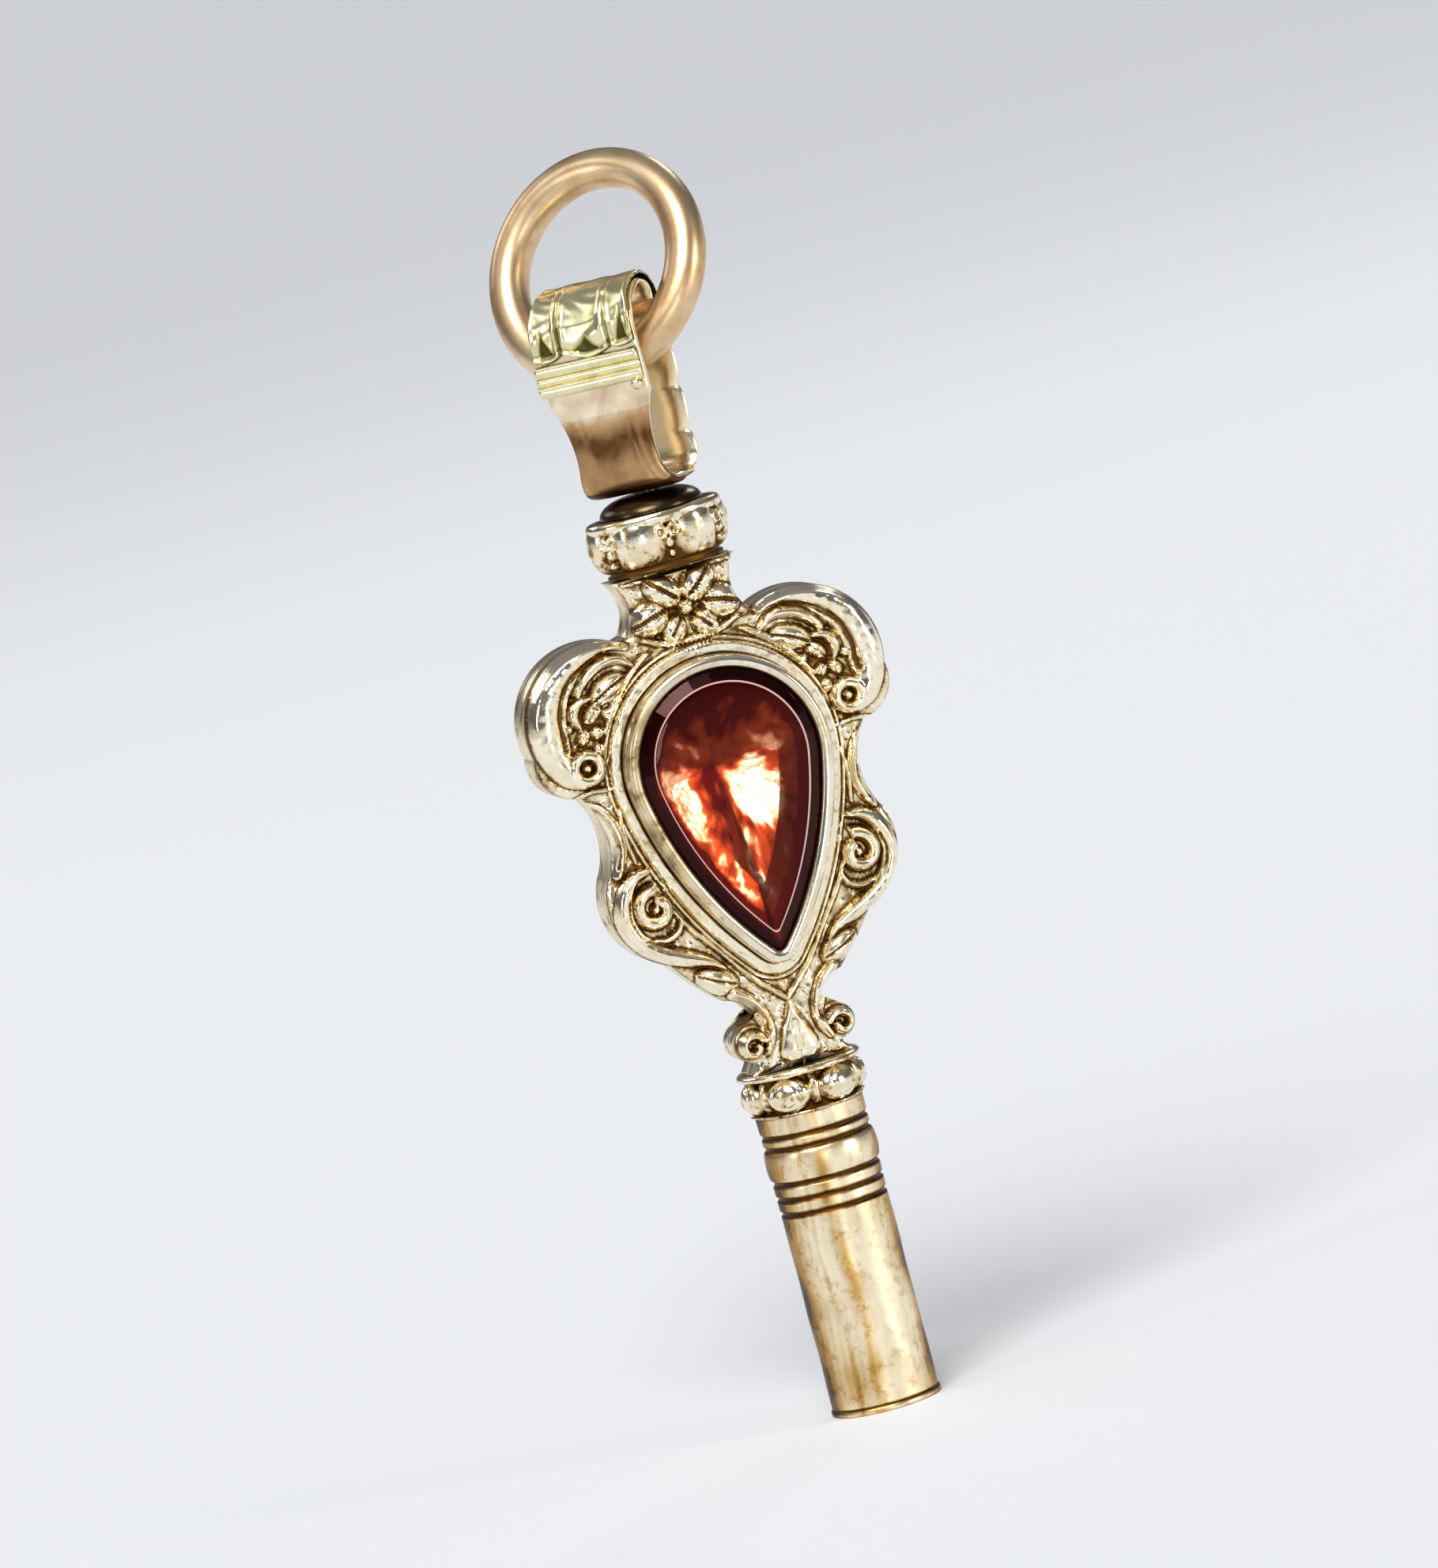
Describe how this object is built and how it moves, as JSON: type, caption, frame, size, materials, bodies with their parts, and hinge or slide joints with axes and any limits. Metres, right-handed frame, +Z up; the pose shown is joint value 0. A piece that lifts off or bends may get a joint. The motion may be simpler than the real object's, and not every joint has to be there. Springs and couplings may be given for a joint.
{
  "type": "watch key",
  "caption": "Pendant watch key with a square-socket pipe, a scrolled body set with a pear-shaped red stone, a swivelling strap bail and a hanging ring.",
  "frame": {"origin": "centre of the pipe's mouth, on its end face", "axes": "+Z up along the key's axis from the pipe to the ring, -Y out of the front stone, +X to the right seen from the front"},
  "size_m": [0.0102, 0.0059, 0.0352],
  "materials": {
    "body_gold": "polished pale gold with brown tarnish in its hollows",
    "pipe_gold": "polished yellow gold, worn along its length",
    "bail_gold": "satin rose-brown gold",
    "leaf_gold": "polished greenish gold",
    "rose_gold": "worn rose gold wire",
    "dark_gold": "dark tarnished gold",
    "core_steel": "dull turned steel",
    "cast_filling": "grey cast filling metal",
    "bright_foil": "bright orange-red foil",
    "red_stone": "polished cut red paste"
  },
  "bodies": {
    "key": {"pipe_core": "core_steel", "pipe_casing": "pipe_gold", "pipe_collar": "body_gold", "front_shell": "body_gold", "back_shell": "body_gold", "body_fill": "cast_filling", "front_bezel": "body_gold", "front_foil": "bright_foil", "front_stone": "red_stone", "back_bezel": "body_gold", "back_foil": "bright_foil", "back_stone": "red_stone", "crown": "body_gold", "swivel_dome": "dark_gold", "swivel_rivet": "core_steel"},
    "bail": {"bail_strap": "bail_gold", "bail_leaf": "leaf_gold", "bail_band": "leaf_gold"},
    "ring": {"hanging_ring": "rose_gold"}
  },
  "joints": [
    {"name": "bail_swivel", "type": "hinge", "parent": "key", "child": "bail", "pos_m": [0, 0, 0.02595], "axis": [0, 0, 1], "continuous": true},
    {"name": "ring_swing", "type": "hinge", "parent": "bail", "child": "ring", "pos_m": [0.00023, -0.0002, 0.0298], "axis": [-0.7547, 0.6561, 0], "range_deg": [-55, 100]}
  ]
}
